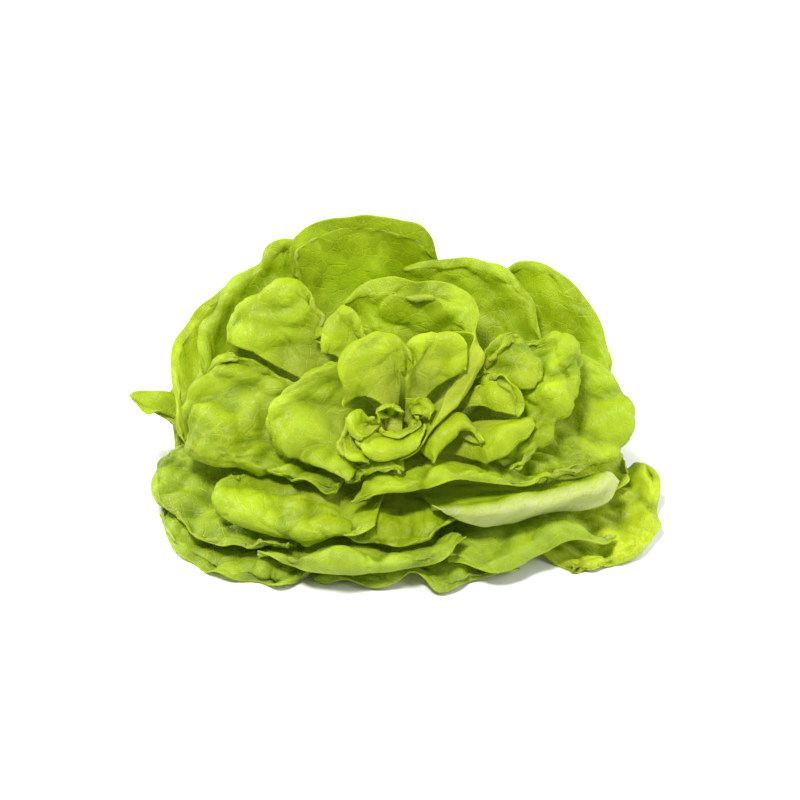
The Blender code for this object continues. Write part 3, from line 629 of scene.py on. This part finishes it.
def clear_of_stem(grid):
    """Keep every ring past the root outside the stem."""
    height = grid[1:, :, 2]
    part = np.clip(height / STEM_HEIGHT, 0.0, 1.0)
    radius = STEM_FOOT_RADIUS + (STEM_TOP_RADIUS - STEM_FOOT_RADIUS) * part ** STEM_TAPER
    least = np.maximum(radius, CORE_RADIUS * CORE_SHARE) + STEM_CLEAR
    least = np.where(height > CORE_TOP, 0.0, least)
    offset = grid[1:, :, :2] - np.stack((height * 0, -LEAN * height), axis=2)
    distance = np.maximum(np.linalg.norm(offset, axis=2), 1e-6)
    push = np.maximum(least / distance - 1.0, 0.0)
    grid[1:, :, :2] += offset * push[..., None]
    return grid


def facing_of(stations):
    """Compass direction in degrees from the stem to a leaf's rim."""
    rim = np.array(stations, dtype=float)[:, :3].mean(axis=0)
    return math.degrees(math.atan2(rim[1] + LEAN * FACING_HEIGHT_MM, rim[0]))


def root_heights():
    """Height of each leaf's root: just above the roots below it on the same side."""
    placed = []
    for leaf in reversed(LEAVES):
        facing = facing_of(leaf[-1])
        height = BASE_LOW
        for other, other_height in placed:
            apart = abs((facing - other + 180.0) % 360.0 - 180.0)
            if apart < BASE_CLEAR_DEG:
                height = max(height, other_height + BASE_STEP)
        placed.append((facing, height))
    return [height for _, height in reversed(placed)]


def core_radius(height):
    """Radius of the egg-shaped core at this height."""
    part = (height - CORE_BOTTOM) / (CORE_TOP - CORE_BOTTOM)
    return CORE_RADIUS * max(1.0 - (2 * part - 1) ** 2, 0.0) ** 0.5


def smoother(grid, times):
    """The grid with this many steps between neighbouring points, on smooth curves."""
    for axis in (0, 1):
        count = grid.shape[axis]
        first = 2 * np.take(grid, [0], axis=axis) - np.take(grid, [1], axis=axis)
        last = 2 * np.take(grid, [count - 1], axis=axis) - np.take(grid, [count - 2], axis=axis)
        padded = np.concatenate((first, grid, last), axis=axis)
        at = np.linspace(0.0, count - 1.0, (count - 1) * times + 1)
        low = np.minimum(at.astype(int), count - 2)
        t = (at - low).reshape((-1, 1, 1) if axis == 0 else (1, -1, 1))
        a, b, c, d = (np.take(padded, low + k, axis=axis) for k in range(4))
        grid = 0.5 * (2 * b + (c - a) * t + (2 * a - 5 * b + 4 * c - d) * t ** 2
                      + (3 * b - a - 3 * c + d) * t ** 3)
    return grid


def flat_places(grid):
    """Place of each point on the flattened blade: across from the midrib and up from the root."""
    across = np.linalg.norm(np.diff(grid, axis=1), axis=2)
    x = np.concatenate((np.zeros((len(grid), 1)), np.cumsum(across, axis=1)), axis=1)
    middle = grid.shape[1] // 2
    x = x - x[:, middle:middle + 1]
    up = np.linalg.norm(np.diff(grid, axis=0), axis=2)
    y = np.concatenate((np.zeros((1, grid.shape[1])), np.cumsum(up, axis=0)), axis=0)
    return x, y


def perlin(x, y, size, seed):
    """Smooth noise between about -1 and 1 with features of this size."""
    flat = [noise.noise(Vector((a / size, b / size, seed))) for a, b in zip(x.ravel(), y.ravel())]
    return np.array(flat).reshape(x.shape) * PERLIN_GAIN


def cells(x, y, size, seed):
    """Distance from the borders of irregular cells, 0 on a border and near 1 in a middle."""
    out = np.empty(x.size)
    for k, (a, b) in enumerate(zip(x.ravel(), y.ravel())):
        near = noise.voronoi(Vector((a / size, b / size, seed)))[0]
        out[k] = near[1] - near[0]
    return np.clip(out.reshape(x.shape) * CELL_GAIN, 0.0, 1.0)


def crumple(grid, number, strength):
    """Pillows between the side ribs, ruffles and folds, and how deep each point then lies."""
    x, y = flat_places(grid)
    s = np.linspace(0.0, 1.0, len(grid))[:, None]
    seed = CRUMPLE_SEED * number
    warp = perlin(x, y, WARP_LENGTH, seed) * WARP_MOST
    slant = y - np.abs(x) * RIB_SLANT + warp
    pillows = np.abs(np.sin(math.pi * slant / RIB_SPACING)) - PILLOW_MEAN
    relief = -RIB_HEIGHT * pillows * np.sin(np.pi * np.clip(s * RIB_END, 0.0, 1.0))
    for k, (length, height) in enumerate(RUFFLES):
        shift = perlin(x, y, RUFFLE_SHIFT_LENGTH, seed + RUFFLE_SHIFT_NOISE + k) * RUFFLE_SHIFT
        amount = perlin(x, y, RUFFLE_SWELL_LENGTH, seed + RUFFLE_SWELL_NOISE + k)
        swell = RUFFLE_SWELL + RUFFLE_SWELL * amount
        wave = np.sin(2 * math.pi * x / length + shift)
        relief = relief + height * swell * s ** RUFFLE_POWER * wave
    crease = 1 - 2 * np.abs(perlin(x, y, FOLD_LENGTH, seed + FOLD_NOISE))
    relief = relief + FOLD_HEIGHT * (crease - FOLD_MEAN) * s ** FOLD_POWER * (FOLD_END - s)
    relief = relief * strength
    # How deep each point lies, which the leaf material turns into painted shade.
    deep = np.clip(0.5 + relief / DEEP_SPAN, 0.0, 1.0)
    return grid + grid_normals(grid) * relief[..., None], deep


def blister(grid, number, strength):
    """Puffed cells between the veins, and how near each point is to a vein."""
    x, y = flat_places(grid)
    s = np.linspace(0.0, 1.0, len(grid))[:, None]
    seed = BLISTER_SEED * number
    bent = x + BLISTER_WARP * perlin(x, y, BLISTER_WARP_LENGTH, seed + BLISTER_WARP_NOISE)
    wide = cells(bent, y, BLISTER_SIZE, seed)
    small = cells(x, y, PIMPLE_SIZE, seed + PIMPLE_NOISE)
    risen = np.clip(s * BLISTER_ROOT_GAIN, 0.0, 1.0)
    grown = risen * np.clip((BLISTER_END - s) * BLISTER_RIM_GAIN, BLISTER_LEAST, 1.0)
    dome = np.sqrt(np.clip(wide * BLISTER_STEEP, 0.0, 1.0))
    puff = BLISTER_HEIGHT * dome + PIMPLE_HEIGHT * np.sqrt(small)
    amount = perlin(x, y, BLISTER_SWELL_LENGTH, seed + BLISTER_SWELL_NOISE)
    swell = BLISTER_SWELL_MEAN + BLISTER_SWELL * amount
    puff = (puff - BLISTER_HEIGHT * BLISTER_MEAN) * swell
    line = np.abs(perlin(x, y, CREASE_LENGTH, seed + CREASE_NOISE))
    crease = np.clip(1 - CREASE_STEEP * line, 0.0, 1.0)
    puff = puff - CREASE_HEIGHT * crease
    moved = grid - grid_normals(grid) * (puff * grown * strength)[..., None]
    wide_vein = np.clip(1.0 - wide * WIDE_VEIN_STEEP, 0.0, 1.0)
    small_vein = np.clip(1.0 - small * SMALL_VEIN_STEEP, 0.0, 1.0)
    vein = wide_vein * WIDE_VEIN_SHARE + small_vein * (1.0 - WIDE_VEIN_SHARE)
    rib = np.exp(-(x / (RIB_TIP_WIDTH + RIB_ROOT_WIDTH * (1 - s))) ** 2) * (1 - s) ** RIB_FADE
    return moved, np.clip(np.maximum(vein, rib), 0.0, 1.0)


def blade_mesh(name, grid, vein, deep, tone):
    """Closed blade with an upper side, an underside and a rim, and its flattened places as UVs."""
    rings, ribs = grid.shape[:2]
    normals = grid_normals(grid)
    x, y = flat_places(grid)
    s = np.linspace(0.0, 1.0, rings)[:, None]
    half = ROOT_HALF + (RIM_HALF - ROOT_HALF) * s ** 0.5
    midrib = MIDRIB_HEIGHT * np.exp(-(x / MIDRIB_WIDTH) ** 2) * (1 - s) ** MIDRIB_FADE
    upper = grid - normals * half[..., None]
    under = grid + normals * (half + midrib)[..., None]
    verts = np.vstack((upper.reshape(-1, 3), under.reshape(-1, 3)))
    verts[:, 2] = np.maximum(verts[:, 2], FLOOR)
    count = rings * ribs
    index = np.arange(count).reshape(rings, ribs)
    a, b, c, d = index[:-1, :-1], index[:-1, 1:], index[1:, 1:], index[1:, :-1]
    quads = np.stack((a, b, c, d), axis=-1).reshape(-1, 4)
    border = np.concatenate((index[0, :-1], index[:-1, -1], index[-1, :0:-1], index[:0:-1, 0]))
    after = np.roll(border, -1)
    rim = np.stack((after, border, border + count, after + count), axis=-1)
    faces = np.vstack((quads, quads[:, ::-1] + count, rim))
    p, q, r = verts[quads[0, 0]], verts[quads[0, 1]], verts[quads[0, 2]]
    if np.cross(q - p, r - p) @ normals[0, 0] > 0:
        faces = faces[:, ::-1]
    mesh = bpy.data.meshes.new(name)
    mesh.from_pydata(verts.tolist(), [], faces.tolist())
    side = np.zeros(len(faces), dtype=np.int32)
    side[len(quads):2 * len(quads)] = 1
    mesh.polygons.foreach_set("material_index", side)
    mesh.polygons.foreach_set("use_smooth", np.ones(len(faces), dtype=bool))
    reach = np.minimum(y[-1:, :] - y, np.minimum(x - x[:, :1], x[:, -1:] - x))
    marks = {
        "flat": np.stack((x, y), axis=-1),
        "mark": np.stack((vein, np.clip(reach / RIM_REACH, 0.0, 1.0)), axis=-1),
        "tone": np.stack((np.full_like(x, tone), s + 0 * x), axis=-1),
        # Depth, which the material reads for painted shade.
        "deep": np.stack((deep, deep), axis=-1),
    }
    corner = faces.ravel() % count
    for key, values in marks.items():
        layer = mesh.uv_layers.new(name=key)
        layer.data.foreach_set("uv", values.reshape(-1, 2)[corner].ravel())
    mesh.update()
    return mesh


class Nodes:
    """Short calls for building one material's node tree."""

    def __init__(self, name):
        self.material = bpy.data.materials.new(name)
        self.material.use_nodes = True
        self.tree = self.material.node_tree
        self.tree.nodes.clear()

    def add(self, kind, inputs=None, **settings):
        """A node with its settings, and its inputs linked or set."""
        node = self.tree.nodes.new(kind)
        for key, value in settings.items():
            setattr(node, key, value)
        for key, value in (inputs or {}).items():
            if isinstance(value, bpy.types.NodeSocket):
                self.tree.links.new(value, node.inputs[key])
            else:
                node.inputs[key].default_value = value
        return node

    def uv(self, name):
        """The two values of a UV map, apart."""
        vector = self.add("ShaderNodeUVMap", uv_map=name).outputs[0]
        split = self.add("ShaderNodeSeparateXYZ", {0: vector})
        return vector, split.outputs[0], split.outputs[1]

    def math(self, operation, first, second):
        """One arithmetic step."""
        return self.add("ShaderNodeMath", {0: first, 1: second}, operation=operation).outputs[0]

    def blend(self, share, first, second):
        """Two colours mixed by a share."""
        node = self.add("ShaderNodeMix", {0: share}, data_type="RGBA")
        for socket, value in ((6, first), (7, second)):
            if isinstance(value, bpy.types.NodeSocket):
                self.tree.links.new(value, node.inputs[socket])
            else:
                node.inputs[socket].default_value = (*value, 1.0)
        return node.outputs[2]

    def ramp(self, value, low, high):
        """A value taken from low..high to 0..1."""
        return self.add("ShaderNodeMapRange", {0: value, 1: low, 2: high}).outputs[0]

    def scaled(self, value, factor):
        """A value times a factor."""
        return self.math("MULTIPLY", value, factor)

    def clouds(self, place, scale, detail):
        """Soft noise."""
        inputs = {"Vector": place, "Scale": scale, "Detail": detail}
        return self.add("ShaderNodeTexNoise", inputs).outputs[0]

    def net_lines(self, place, scale, width):
        """A net of thin lines round irregular cells: 1 on a line, 0 away from it."""
        inputs = {"Vector": place, "Scale": scale}
        edge = self.add("ShaderNodeTexVoronoi", inputs, feature="DISTANCE_TO_EDGE").outputs[0]
        return self.ramp(edge, width, 0.0)

    def bump(self, height, strength, distance):
        """A normal tilted by a height."""
        inputs = {"Strength": strength, "Distance": distance, "Height": height}
        return self.add("ShaderNodeBump", inputs).outputs[0]


def leaf_material(name, color, side, sheen_color=None):
    """Soft waxy leaf: pale veins, fine net, painted shade in the recesses, a painted sheen on the outer
    part where given, paler root, and light coming through.
    """
    net = Nodes(name)
    flat, _, _ = net.uv("flat")
    _, vein, reach = net.uv("mark")
    _, tone, along = net.uv("tone")
    _, deep, _ = net.uv("deep")
    shift = net.add("ShaderNodeCombineXYZ", {2: tone}).outputs[0]
    place = net.add("ShaderNodeVectorMath", {0: flat, 1: shift}, operation="ADD").outputs[0]
    cloud = net.clouds(place, CLOUD_SCALE, CLOUD_DETAIL)
    speck = net.clouds(place, SPECK_SCALE, SPECK_DETAIL)
    fine_lines = net.net_lines(place, FINE_NET_SCALE, FINE_NET_WIDTH)
    wide_lines = net.net_lines(place, WIDE_NET_SCALE, WIDE_NET_WIDTH)
    lit = tuple(min(c * LIT_GAIN + LIT_LIFT, 1.0) for c in color)
    dull = tuple(c * DULL_GAIN for c in color)
    base = net.blend(net.ramp(cloud, DULL_END, LIT_START), dull, lit)
    # Painted shade: recessed points darkened towards a greener tint.
    painted_shade = net.scaled(net.ramp(deep, PAINTED_SHADE_START, PAINTED_SHADE_FULL), PAINTED_SHADE_SHARE)
    base = net.blend(painted_shade, base, tuple(c * k for c, k in zip(color, PAINTED_SHADE_TINT)))
    # Painted sheen: the outer part of the blade turned paler where a sheen colour is given.
    if sheen_color:
        base = net.blend(net.ramp(along, SHEEN_START, SHEEN_FULL), base, sheen_color)
    base = net.blend(net.scaled(fine_lines, FINE_NET_SHARE), base, VEIN)
    base = net.blend(net.scaled(wide_lines, WIDE_NET_SHARE), base, VEIN)
    base = net.blend(net.scaled(vein, side["vein"]), base, VEIN)
    base = net.blend(net.ramp(along, ROOT_REACH, 0.0), base, ROOT)
    base = net.blend(net.scaled(net.ramp(reach, RIM_START, RIM_FULL), RIM_SHARE), base, VEIN)
    height = net.math("ADD", net.scaled(fine_lines, -FINE_NET_SINK), net.scaled(wide_lines, -WIDE_NET_SINK))
    height = net.math("ADD", height, net.scaled(speck, SPECK_RISE))
    height = net.math("ADD", height, net.scaled(cloud, CLOUD_RISE))
    ridges = {"Vector": place, "Scale": UNEVEN_SCALE, "Detail": UNEVEN_DETAIL}
    uneven = net.add("ShaderNodeTexNoise", ridges,
                     noise_type="RIDGED_MULTIFRACTAL", normalize=True).outputs[0]
    height = net.math("SUBTRACT", height, uneven)
    normal = net.bump(height, side["bump"], LEAF_BUMP_DISTANCE)
    rough = net.math("ADD", net.scaled(net.ramp(speck, 0.0, 1.0), ROUGH_SPREAD), side["rough"])
    surface = net.add("ShaderNodeBsdfPrincipled",
                      {"Base Color": base, "Roughness": rough, "Normal": normal, "IOR": LEAF_IOR})
    glow = net.blend(GLOW_SHARE, base, GLOW)
    through = net.add("ShaderNodeBsdfTranslucent", {"Color": glow, "Normal": normal})
    mix = net.add("ShaderNodeMixShader",
                  {0: THROUGH_SHARE, 1: surface.outputs[0], 2: through.outputs[0]})
    net.add("ShaderNodeOutputMaterial", {0: mix.outputs[0]})
    return net.material


def stem_material():
    """Pale moist stump, browned in patches where it was cut."""
    net = Nodes("stem_cut")
    place = net.add("ShaderNodeTexCoord").outputs["Object"]
    cloud = net.clouds(place, STEM_CLOUD_SCALE, STEM_CLOUD_DETAIL)
    base = net.blend(net.ramp(cloud, BROWN_START, BROWN_FULL), STEM_PALE, STEM_BROWN)
    normal = net.bump(cloud, STEM_BUMP, STEM_BUMP_DISTANCE)
    look = {"Base Color": base, "Roughness": STEM_ROUGH, "Normal": normal}
    surface = net.add("ShaderNodeBsdfPrincipled", look)
    net.add("ShaderNodeOutputMaterial", {0: surface.outputs[0]})
    return net.material


def floor_material():
    """Plain matt white."""
    net = Nodes("floor_white")
    surface = net.add("ShaderNodeBsdfPrincipled", {"Base Color": FLOOR_WHITE, "Roughness": FLOOR_ROUGH})
    net.add("ShaderNodeOutputMaterial", {0: surface.outputs[0]})
    return net.material


def add_piece(name, mesh, materials):
    """A mesh object in the scene with its materials."""
    for material in materials:
        mesh.materials.append(material)
    piece = bpy.data.objects.new(name, mesh)
    bpy.context.scene.collection.objects.link(piece)
    return piece


def direction(azimuth, raised):
    """Unit vector from compass and height angles."""
    level = math.cos(raised)
    return Vector((math.cos(azimuth) * level, math.sin(azimuth) * level, math.sin(raised)))


def make_camera():
    """The photograph's view."""
    data = bpy.data.cameras.new("camera")
    data.lens = CAMERA_LENS
    data.sensor_width = CAMERA_SENSOR
    camera = bpy.data.objects.new("camera", data)
    away = direction(-math.pi / 2, CAMERA_RAISED)
    camera.location = Vector(CAMERA_TARGET) + away * CAMERA_DISTANCE
    camera.rotation_euler = (-away).to_track_quat("-Z", "Y").to_euler()
    bpy.context.scene.collection.objects.link(camera)
    bpy.context.scene.camera = camera


def make_lights():
    """Large soft lamps and an even white surround."""
    for name, azimuth, raised, distance, size, watts in LIGHTS:
        data = bpy.data.lights.new(name, "AREA")
        data.size = size
        data.energy = watts
        lamp = bpy.data.objects.new(name, data)
        away = direction(math.radians(azimuth), math.radians(raised))
        lamp.location = Vector(CAMERA_TARGET) + away * distance
        lamp.rotation_euler = (-away).to_track_quat("-Z", "Y").to_euler()
        bpy.context.scene.collection.objects.link(lamp)
    world = bpy.data.worlds.new("surround")
    world.use_nodes = True
    world.node_tree.nodes["Background"].inputs["Color"].default_value = (1.0, 1.0, 1.0, 1.0)
    world.node_tree.nodes["Background"].inputs["Strength"].default_value = WORLD_STRENGTH
    bpy.context.scene.world = world
    bpy.context.scene.view_settings.view_transform = "Standard"


def make_floor():
    """A wide pale floor."""
    half = FLOOR_SIZE / 2
    mesh = bpy.data.meshes.new("floor")
    corners = [(-half, -half, 0), (half, -half, 0), (half, half, 0), (-half, half, 0)]
    mesh.from_pydata(corners, [], [(0, 1, 2, 3)])
    add_piece("floor", mesh, [floor_material()])


def group_of(name):
    """Which set of colours a leaf takes."""
    if name.startswith("head"):
        return "head"
    return "wrapper" if name.startswith("wrapper") else "outer"


def coarse_grids():
    """The CAD's own middle surfaces."""
    grids = []
    for number, leaf in enumerate(HEART_LEAVES):
        part = number / (len(HEART_LEAVES) - 1)
        height = HEART_ROOTS[0] + (HEART_ROOTS[1] - HEART_ROOTS[0]) * part
        radius = core_radius(height) - HEART_ROOT_DEPTH
        grids.append(leaf_grid(leaf, number, height, radius))
    for number, (leaf, height) in enumerate(zip(LEAVES, root_heights())):
        radius = stem_radius(height) + BASE_GAP + ROOT_THICKNESS * 0.5
        grids.append(leaf_grid(leaf, OUTER_NUMBER + number, height, radius))
    levels = list(range(len(grids)))
    return sort_leaves(grids, levels, BODY_RINGS, SORT_FINE, SORT_STEPS)


def strength_of(leaf):
    """Share of the full relief that a leaf gets: smooth leaves have a small ruffle."""
    return leaf[4] / FULL_RUFFLE


def medium_grids():
    """Crumpled surfaces, sorted again so that none crosses another, and their depths."""
    grids, depths = [], []
    for number, (leaf, grid) in enumerate(zip(HEART_LEAVES + LEAVES, coarse_grids())):
        crumpled, deep = crumple(smoother(grid, MEDIUM), number, strength_of(leaf))
        grids.append(crumpled)
        depths.append(deep)
    levels = list(range(len(grids)))
    body_rings = (BODY_RINGS - 1) * MEDIUM + 1
    return sort_leaves(grids, levels, body_rings, MEDIUM_SORT_FINE, MEDIUM_SORT_STEPS), depths


def make_leaves():
    """Every blade as a piece in place of its node, the heart's together in one."""
    upper = {key: leaf_material("leaf_upper_" + key, color, UPPER_SIDE) for key, color in UPPER.items()}
    under = {key: leaf_material("leaf_under_" + key, color, LOWER_SIDE) for key, color in LOWER.items()}
    # Upper side with a painted sheen on its turned outer part, for the one leaf that takes it.
    pale = leaf_material("leaf_upper_painted_sheen", UPPER["wrapper"], UPPER_SIDE, PAINTED_SHEEN)
    heart = []
    grids, depths = medium_grids()
    for number, (leaf, grid, deep) in enumerate(zip(HEART_LEAVES + LEAVES, grids, depths)):
        name = leaf[0]
        in_heart = number < len(HEART_LEAVES)
        times = HEART_FINE if in_heart else FINE
        fine, vein = blister(smoother(grid, times), number, strength_of(leaf))
        deep = finer(deep[..., None], times)[..., 0]
        mesh = blade_mesh(name + "_blade", fine, vein, deep, number * TONE_STEP % 1.0)
        key = "heart" if in_heart else group_of(name)
        # The listed leaves take the painted backlight colours.
        look = "painted_backlight" if name in PAINTED_BACKLIGHT_LEAVES else key
        top = pale if name == PALE_LEAF else upper[look]
        piece = add_piece(name + "_blade", mesh, [top, under[look]])
        if in_heart:
            heart.append(piece)
            continue
        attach(piece, "root")
        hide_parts(name)
    bpy.ops.object.select_all(action="DESELECT")
    for piece in heart:
        piece.select_set(True)
    bpy.context.view_layer.objects.active = heart[0]
    bpy.ops.object.join()
    heart[0].name = "heart_blades"
    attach(heart[0], "root")
    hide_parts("heart")


make_camera()
make_lights()
make_floor()
make_leaves()
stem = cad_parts["stem"]
for place in stem.material_slots:
    place.material = stem_material()
